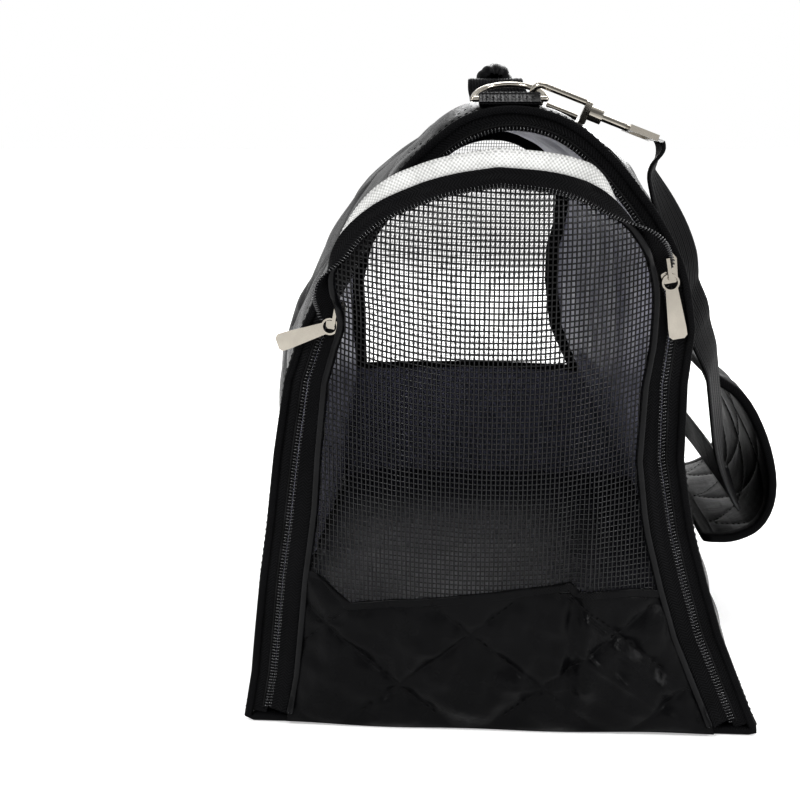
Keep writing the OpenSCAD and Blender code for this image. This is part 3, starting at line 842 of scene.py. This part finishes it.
def make_door_panel():
    nx, nz = 190, 90
    t = np.linspace(-1, 1, nx)[:, None]
    k = np.linspace(0, 1, nz)[None, :]
    left, right = door_span(40)
    foot = 1.2 + 0.5 * ripple(t * 100, 0 * t, 70, 74)
    z = foot + k * (panel_top((left + right) / 2 + t * (right - left) / 2) - foot)
    left, right = door_span(z)
    x = (left + right) / 2 + t * (right - left - 1) / 2
    edge = np.minimum(np.minimum((1 - np.abs(t)) * 95, k * 66), (1 - k) * 66)
    fall = 1 - np.exp(-edge / 6)
    tufts = quilt(x - DOOR_QUILT_AT[0], z - DOOR_QUILT_AT[1], 4.6, size=DOOR_QUILT)
    puff = fall * (tufts + 0.9 * ripple(x, z, 40, 71)
                   + 0.5 * ripple(x, z, 15, 72) + 0.22 * ripple(x, 0.4 * z, 8, 73))
    low_fold = np.exp(-(((z - 44 + 0.75 * (x - 36)) / 3.0) ** 2))
    folds = np.exp(-(((z - 62 + 0.9 * (x - 36)) / 3.2) ** 2)) + low_fold
    puff = puff + fall * 1.8 * folds * smooth((x - 34) / 6) * smooth((96 - x) / 30)
    y = door_y(x, z)
    front = coords(x, y - 0.6 - np.clip(puff, 0, 6.5), z)
    back = coords(x, y + 1.0 + 0.3 * np.clip(puff, 0, 6), z)
    uv = coords(x, z)
    o = cloth("door_quilted_cover", front, back, NYLON, None, uv)
    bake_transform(o)
    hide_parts("door_quilted_panel")
    parts = []
    for line in quilt_lines(-60, 155, -30, 60, 2.0, DOOR_QUILT):
        u, v = line[:, 0] + DOOR_QUILT_AT[0], line[:, 1] + DOOR_QUILT_AT[1]
        left, right = door_span(v)
        ok = (v > 8) & (v < panel_top(u) - 4) & (u > left + 3) & (u < right - 3)
        if ok.sum() < 5:
            continue
        u, v = u[ok], v[ok]
        p = door_surface(u, v, 0.9)
        parts.append(stitch_parts(p, facing_way((0, -1, 0), p), 3.6, 2.8, 0.3, 0.15))
    join_parts("door_quilting_stitches", parts, THREAD, "door")
    left, right = door_span(72)
    x = np.linspace(left + 1, right - 1, 150)
    top_seam = door_surface(x, panel_top(x) - 0.5, 0.9)
    sweep("door_panel_top_seam", top_seam, (0, 0, 1), flat_profile(4.2, 1.5), NYLON,
          "door")


TOOTH_PITCH = 1.55


def teeth(name, path, normal, facing, inner, outer, body, shift=0.0):
    """A row of coil teeth across a line: each a small bent bar from inner to outer along normal."""
    d = distances(path)
    n = int(d[-1] / TOOTH_PITCH)
    s = (np.arange(n) + 0.5 + shift) * TOOTH_PITCH
    s = s[s < d[-1]]
    c, nn, ff = sample(s, d, path), sample(s, d, normal), sample(s, d, facing)
    t = np.cross(nn, ff)
    t /= np.linalg.norm(t, axis=1)[:, None]
    h = 1.15
    along = [inner, (inner + outer) / 2, outer]
    rise = [0.8 * h, h, 0.45 * h]
    girth = [0.30, 0.36, 0.40]
    v = []
    for a, f, g in zip(along, rise, girth):
        base = c + nn * a
        side = t * g * 0.78 * 1.3
        v += [base + side + ff * f * 0.35, base + ff * f, base - side + ff * f * 0.35, base - ff * f * 0.8]
    v = np.stack(v, 1)
    one = []
    for k in range(2):
        for j in range(4):
            a, b = 4 * k + j, 4 * k + (j + 1) % 4
            one.append([a, b, b + 4, a + 4])
    one += [[3, 2, 1, 0], [8, 9, 10, 11]]
    f = (np.array(one)[None] + 12 * np.arange(len(s))[:, None, None]).reshape(-1, 4)
    return join_parts(name, [(v.reshape(-1, 3), f)], COIL, body)


def make_frame_zip():
    line = arch(5.0, 460, 4.5)
    n = outward(line)
    up = at_depth(n, 0.0)
    path = at_depth(line, DOOR_Y + 0.25 * ripple(np.arange(460), 0, 70, 81))
    o = sweep("frame_zip_tape_cloth", sag(path), up, flat_profile(7.6, 0.8, 10), TAPE, "shell")
    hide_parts("frame_zip_tape")
    line = arch(8.0, 460, 7.0)
    n = outward(line)
    path = at_depth(line, DOOR_Y - 0.2)
    nn = at_depth(n, 0.0)
    face = facing_way((0, -1, 0), nn)
    o = teeth("frame_zip_teeth", sag(path), nn, face, -0.9, 1.3, "shell")
    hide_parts("frame_zip_coil")
    line = arch(6.4, 460, 7.0)
    p = at_depth(line, DOOR_Y - 0.5)
    sweep("frame_zip_seam_cord", sag(p), (0, 1, 0), round_profile(0.5, 6), THREAD, "shell")


def make_door_edges():
    """The piping, tape and coil along the door's edge.

    They lie flat beside the zip, and fold over in front of the mesh above it.
    """
    root = np.concatenate([EDGE_LEFT, EDGE_RIGHT[::-1][1:]])
    n = 560
    root = resample(root[root[:, 1] > 5], n)
    x, z = root.T
    normal = outward(root)
    nn = at_depth(normal, 0.0)
    left = np.arange(n) < np.argmax(z)
    fold = np.where(left, smooth((z - FOLD_LEFT[0]) / (FOLD_LEFT[1] - FOLD_LEFT[0])),
                    smooth((z - FOLD_RIGHT[0]) / (FOLD_RIGHT[1] - FOLD_RIGHT[0])))
    kernel = np.hanning(31)
    fold = np.convolve(np.pad(fold, 15, mode="edge"), kernel / kernel.sum(), "valid")
    base = door_surface(x, z)
    ahead = np.array([0, -1.0, 0])
    # the piping on the mesh's edge
    tucked = smooth(2 * fold - 1)
    under = 1.6 + 5.0 * tucked
    pipe = door_surface(x - under * nn[:, 0], z - under * nn[:, 2], 1.1 - 0.6 * tucked)
    o = sweep("door_edge_piping", pipe, (0, 1, 0), round_profile(1.9, 12), PIPING, None,
              scale=1 - 0.6 * tucked)
    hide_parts("door_piping", "flap_piping")
    bend_at_fold(o)
    # the zip's tape
    turn = math.pi * fold
    out = nn * np.cos(turn)[:, None] + ahead * np.sin(turn)[:, None]
    reach = 7.2
    start = base + nn * (0.3 + 0.6 * fold)[:, None] + ahead * (0.5 + 1.9 * fold)[:, None]
    tip = start + out * reach
    folded_y = door_y(tip[:, 0], tip[:, 2]) - 2.3
    tip[:, 1] = (1 - fold) * np.minimum(tip[:, 1], DOOR_Y - 0.4) + fold * folded_y
    closed = smooth((np.where(left, LEFT_Z, RIGHT_Z) + 1 - z) / 7)[:, None]
    chain = sag(np.stack([np.where(left, -1, 1) * half_width(9.7, z), np.full(n, DOOR_Y - 0.2), z], 1))
    tip = (1 - closed) * tip + closed * chain
    mid = (start + tip) / 2
    out = tip - start
    out /= np.linalg.norm(out, axis=1)[:, None]
    o = sweep("door_zip_tape_cloth", mid, out, flat_profile(reach + 0.6, 0.8, 10), TAPE, None,
              scale=(np.linalg.norm(tip - start, axis=1) + 0.6) / (reach + 0.6))
    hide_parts("door_zip_tape", "flap_zip_tape")
    bend_at_fold(o)
    face = np.cross(np.gradient(mid, axis=0), out)
    face /= np.linalg.norm(face, axis=1)[:, None]
    toward = face * np.sign((face[0] * ahead).sum())
    o = teeth("door_zip_teeth", tip, out, toward, -0.9, 1.3, None, shift=0.5)
    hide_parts("door_zip_coil", "flap_zip_coil")
    bend_at_fold(o)
    # the grey binding behind the folded tape
    keep = np.arange(n)[(z > 226) & (left | (z > 247))]
    t = np.linspace(0, 1, len(keep))
    width = 8.6 * smooth(t / 0.33) * smooth((1 - t) / 0.16) + 0.3
    rows = []
    for k in np.linspace(0, 1, 9):
        q = root[keep] + normal[keep] * ((width + 1.5) * k - 1.5)[:, None]
        y = door_y(root[keep][:, 0], root[keep][:, 1]) - 0.9 - 1.2 * math.sin(k * math.pi) + 3.0 * k * k
        rows.append(np.stack([q[:, 0], y, q[:, 1]], 1))
    front = np.stack(rows, 1)
    d = distances(root[keep])
    uv = coords(d[:, None], np.linspace(0, 9.4, 9)[None, :])
    o = cloth("seam_binding_band", front, front + [0, 1.2, 0], GREY_BAND, None, uv)
    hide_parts("flap_seam_binding")
    bend_at_fold(o)
    parts = []
    for line in (front[:, 2], front[:, 7]):
        parts.append(stitch_parts(line, facing_way(ahead, line), 2.6, 1.9, 0.22, 0.25))
    bend_at_fold(join_parts("seam_binding_stitches", parts, GREY_THREAD, None))


# ---- Handle, ring tabs, strap and pad ----

# width and thickness of the three webbings
HANDLE_WEB = (30, 2.0)
TAB_WEB = (27, 1.1)
STRAP_WEB = (25, 1.7)
# the padded roll's lean, height and half length, and the shoulder pad's half length
GRIP_X, GRIP_Z, GRIP_HALF = -4.5, 309, 58
PAD_HALF = 76


def make_handle():
    for side, name, node in ((-1, "front", "handle_anchor_front"), (1, "rear", "handle_anchor_rear")):
        path = curve([(0, 108, 293.4), (0, 95, 293.6), (0, 80, 293.8), (0, 73, 295.0),
                      (0, 70, 299), (0, 68.5, 304),
                      (0, 65, 309.2), (0, 58, 309.6), (0, 50, 309.4)], 90)
        path = path * [1, side, 1]
        path[:, 0] += GRIP_X * smooth((path[:, 2] - 294) / 12)
        profile = flat_profile(*HANDLE_WEB, 22)
        profile[:, 1] += 0.12 * np.sin(profile[:, 0] * 2.6)
        o = sweep("handle_webbing_" + name, path, (1, 0, 0), profile, WEBBING, None)
        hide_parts(node, "handle_webbing")
        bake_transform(o)
        parts = []
        box = [(-12, 78), (12, 78), (12, 103), (-12, 103), (-12, 78), (12, 103), (12, 78), (-12, 103)]
        pts = resample(np.array([(a, side * b, 294.9) for a, b in box], float), 200)
        parts.append(stitch_parts(pts, facing_way((0, 0, 1), pts), 2.8, 2.1, 0.3, 0.1))
        join_parts("handle_box_stitches_" + name, parts, THREAD, "shell")
    # the padded grip, gathered at its ends
    n, k = 120, 72
    t = np.linspace(-1, 1, n)[:, None]
    a = np.linspace(0, 2 * math.pi, k, endpoint=False)[None, :]
    end = np.clip((1 - np.abs(t)) * GRIP_HALF / 9, 0, 1)
    r = 9.4 * (0.42 + 0.58 * np.sqrt(1 - (1 - end) ** 2))
    gathered = 0.35 + 1.3 * np.exp(-(1 - np.abs(t)) * GRIP_HALF / 11)
    pleat = np.abs(np.sin(a * 5 + 1.2 * np.sin(t * 4))) * gathered
    r = r + pleat * 0.7 + 0.35 * ripple(t * GRIP_HALF, a * 10, 18, 91) + 0.5 * np.sin(t * 9 + a)
    seam = np.exp(-((a - 4.4) / 0.09) ** 2) * 1.1
    r = np.clip(r - seam, 2, 11.5)
    v = coords(GRIP_X + r * np.cos(a), t * GRIP_HALF, GRIP_Z + r * np.sin(a))
    faces = grid(n, k, wrap=True).tolist() + [list(range(k))[::-1], list(range((n - 1) * k, n * k))]
    uv = coords(t * GRIP_HALF, a * 9)
    o = mesh("handle_padded_grip", v, faces, PAD_NYLON, "handle", uv)
    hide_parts("handle_grip")


def make_ring_tabs():
    for side, name in ((-1, "front"), (1, "rear")):
        c = np.array([196.0, 295.0])
        angles = np.linspace(-0.9, math.pi + 0.3, 14)
        turn = [(c[0] - 2.45 * math.sin(a), c[1] + 2.45 * math.cos(a)) for a in angles]
        points = [(207.5, 293.0), (203.5, 294.6)] + turn + [(200.5, 292.9), (206.5, 292.6)]
        path = np.array([(0, side * y, z) for y, z in points], float)
        profile = flat_profile(*TAB_WEB, 20)
        o = sweep("ring_tab_" + name, resample(path, 60), (1, 0, 0), profile, WEBBING, "shell")
        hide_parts("dring_tab_" + name)
        pts = resample(np.array([(-11.5, side * 203.4, 295.5), (11.5, side * 203.4, 295.5)], float), 20)
        sewn = [stitch_parts(pts, facing_way((0, 0, 1), pts), 2.8, 2.1, 0.3, 0.1)]
        join_parts("ring_tab_stitches_" + name, sewn, THREAD, "shell")


STRAP = [(66.4, -192, 277.2), (72.5, -191, 264.2), (80, -189, 249.5), (88.4, -186, 231), (93, -182, 214),
         (97, -173, 198), (99.5, -163.5, 180), (106.5, -146, 152), (113.5, -128.5, 124), (121, -111, 101),
         (129, -94, 88), (134, -78, 84), (134, 0, 84)]
# how far its outer face turns to the bag's end, and up, at each of those points
STRAP_LOOKS = [(0, 0.45), (-0.25, 0.4), (-0.55, 0.3), (-0.75, 0.2),
               (-0.8, 0.1), (-0.75, 0), (-0.5, 0.2), (-0.5, 0.2),
               (-0.5, 0.2), (-0.15, 0.3), (0, 0.3), (0, 0.3), (0, 0.3)]


def make_strap():
    both = curve(np.concatenate([STRAP, STRAP_LOOKS], 1), 220, 2)
    for side, name in ((-1, "front"), (1, "rear")):
        beside = smooth((both[:, 2] - 190) / 20) * smooth((276 - both[:, 2]) / 14)
        route = both[:, :3] * [1, -side, 1]
        if side < 0:
            route += (sag(route) - route) * beside[:, None]
        route[:, 0] -= 5.0 * smooth((route[:, 2] - 170) / 24) * smooth((276 - route[:, 2]) / 16)
        looks = np.stack([np.ones(len(both)), -side * both[:, 3], both[:, 4]], 1)
        t = np.gradient(route, axis=0)
        wide = np.cross(t, looks)
        wide /= np.linalg.norm(wide, axis=1)[:, None]
        profile = flat_profile(*STRAP_WEB, 20)
        profile[:, 1] += 0.1 * np.sin(profile[:, 0] * 2.6)
        o = sweep("strap_webbing_cloth_" + name, route, wide, profile, WEBBING, "shell")
        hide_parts("strap_webbing_" + name)


PAD_LINE = [(121, 147), (137, 137), (151, 110), (157, 82), (151, 62), (136, 54), (122, 54)]


def make_pad():
    line = curve(PAD_LINE, 120, 2)
    n = outward(line)
    total = length_of(line)
    s = np.linspace(0, total, len(line))[:, None]
    y = np.linspace(-PAD_HALF, PAD_HALF, 120)[None, :]
    edge = np.minimum(np.minimum(s, total - s), PAD_HALF - np.abs(y))
    swell = 1 - np.exp(-edge / 6)
    puff = swell * (quilt(s - total / 2, y, 2.2, 5.0, PAD_QUILT) + 0.35 * ripple(s, y, 34, 95))
    half = 1.9 + puff

    def place(h):
        return coords(line[:, :1] + n[:, :1] * h, y, line[:, 1:2] + n[:, 1:2] * h)

    uv = coords(s, y)
    back_face = place(-1.9 - 0.55 * puff)
    o = cloth("shoulder_pad_cover", place(half), back_face, PAD_NYLON, "pad", uv)
    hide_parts("shoulder_pad")
    parts = []
    for seam in quilt_lines(5 - total / 2, total / 2 - 5, -70, 70, 1.5, PAD_QUILT):
        q, across = seam[:, 0] + total / 2, seam[:, 1]

        def at(h):
            return np.stack([np.interp(q, s[:, 0], line[:, 0] + n[:, 0] * h), across,
                             np.interp(q, s[:, 0], line[:, 1] + n[:, 1] * h)], 1)

        face = at(1.0) - at(0.0)
        parts.append(stitch_parts(at(2.1), face, 3.4, 2.6, 0.3, 0.15))
        parts.append(stitch_parts(at(-2.1), -face, 3.4, 2.6, 0.3, 0.15))
    join_parts("shoulder_pad_quilting", parts, THREAD, "pad")
    # the binding all round its edge
    first = at_depth(line, -75.0)
    last = at_depth(line, 75.0)[::-1]
    side_a = np.stack([np.full(60, line[-1, 0]), np.linspace(-73, 73, 60), np.full(60, line[-1, 1])], 1)
    side_b = np.stack([np.full(60, line[0, 0]), np.linspace(73, -73, 60), np.full(60, line[0, 1])], 1)
    loop = np.concatenate([first, side_a, last, side_b])
    end_a = (line[-1, 0] - line[-4, 0], 0, line[-1, 1] - line[-4, 1])
    end_b = (line[0, 0] - line[3, 0], 0, line[0, 1] - line[3, 1])
    up = [((0, -1, 0), first), (end_a, side_a), ((0, 1, 0), last), (end_b, side_b)]
    up = np.concatenate([facing_way(way, path) for way, path in up])
    profile = rim_profile(*PAD_RIM_SIZE)
    o = sweep("shoulder_pad_binding", loop, up, profile, TWILL, "pad", closed=True)
    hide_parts("pad_binding")


# ---- Metalwork carried over from the CAD ----

def dress_cad():
    for node in ("zip_slider_left", "zip_slider_right", "zip_pull_left", "zip_pull_right",
                 "dring_front", "dring_rear", "snap_hook_front", "snap_hook_rear",
                 "hook_gate_front", "hook_gate_rear", "swivel_loop_front", "swivel_loop_rear",
                 "strap_adjuster", "base_board"):
        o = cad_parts[node]
        o.data.materials.clear()
        o.data.materials.append(BOARD if node == "base_board" else STEEL)
        bevel = o.modifiers.new("edge", "BEVEL")
        bevel.width = 0.00025
        bevel.segments = 2
        bevel.limit_method = "ANGLE"


# ---- Stage ----

def make_stage():
    cam = bpy.data.cameras.new("camera")
    cam.lens, cam.sensor_width = 54, 36
    cam.clip_start = 0.01
    o = bpy.data.objects.new("camera", cam)
    bpy.context.scene.collection.objects.link(o)
    pitch, yaw = RAD(12.2), RAD(3.6)
    o.location = (-0.014, -0.744, 0.277)
    look = Vector((-math.sin(yaw) * math.cos(pitch), math.cos(yaw) * math.cos(pitch), -math.sin(pitch)))
    o.rotation_euler = look.to_track_quat("-Z", "Y").to_euler()
    bpy.context.scene.camera = o

    world = bpy.data.worlds.new("studio")
    bpy.context.scene.world = world
    world.use_nodes = True
    back = world.node_tree.nodes["Background"]
    tree = world.node_tree
    way = tree.nodes.new("ShaderNodeSeparateXYZ")
    tree.links.new(tree.nodes.new("ShaderNodeTexCoord").outputs["Generated"], way.inputs[0])
    brightest = tree.nodes.new("ShaderNodeMath")
    brightest.operation = "MAXIMUM"
    # brighter towards the bag's rear end, and all round just above the floor
    for k, (axis, low, high) in enumerate(((1, -0.5, 0.5), (2, 0.42, 0.16))):
        spread = tree.nodes.new("ShaderNodeMapRange")
        spread.interpolation_type = "SMOOTHSTEP"
        for key, value in (("From Min", low), ("From Max", high), ("To Min", 0.34), ("To Max", 1.0)):
            spread.inputs[key].default_value = value
        tree.links.new(way.outputs[axis], spread.inputs["Value"])
        tree.links.new(spread.outputs[0], brightest.inputs[k])
    tree.links.new(brightest.outputs[0], back.inputs[1])
    back.inputs[0].default_value = (1, 1, 1, 1)
    bpy.context.scene.view_settings.view_transform = "Standard"
    bpy.context.scene.view_settings.gamma = 0.82

    floor_m = Nodes("floor_paper")
    floor_m.link(floor_m.ramp(floor_m.noise(3, 2), (0.78, 0.78, 0.78), (0.80, 0.80, 0.80)), "Base Color")
    floor_m.shader.inputs["Emission Color"].default_value = (1, 1, 1, 1)
    floor_m.shader.inputs["Emission Strength"].default_value = 0.46
    floor_m.shader.inputs["Roughness"].default_value = 0.9
    me = bpy.data.meshes.new("floor")
    e = 40.0
    me.from_pydata([(-e, -e, 0), (e, -e, 0), (e, e, 0), (-e, e, 0)], [], [(0, 1, 2, 3)])
    me.materials.append(floor_m.material)
    floor = bpy.data.objects.new("floor", me)
    floor.location.z = -0.0003
    bpy.context.scene.collection.objects.link(floor)

    for name, place, target, size, power in (
            ("key", (-0.8, -1.2, 1.2), (0, 0, 0.15), 0.4, 15),
            ("fill", (1.2, -0.9, 0.8), (0, 0, 0.15), 0.4, 10),
            ("top", (0.2, -0.1, 1.6), (0, 0, 0.2), 0.6, 8),
            ("back", (0.3, 1.6, 1.0), (0, 0, 0.2), 1.2, 22)):
        light = bpy.data.lights.new(name, "AREA")
        light.shape, light.size, light.energy = "DISK", size, power
        lamp = bpy.data.objects.new(name, light)
        lamp.location = place
        lamp.rotation_euler = (Vector(target) - Vector(place)).to_track_quat("-Z", "Y").to_euler()
        bpy.context.scene.collection.objects.link(lamp)


make_stage()
make_shell()
make_base()
make_lining()
make_rims()
make_mat()
make_rear()
make_door_mesh()
make_door_panel()
make_frame_zip()
make_door_edges()
make_handle()
make_ring_tabs()
make_strap()
make_pad()
dress_cad()
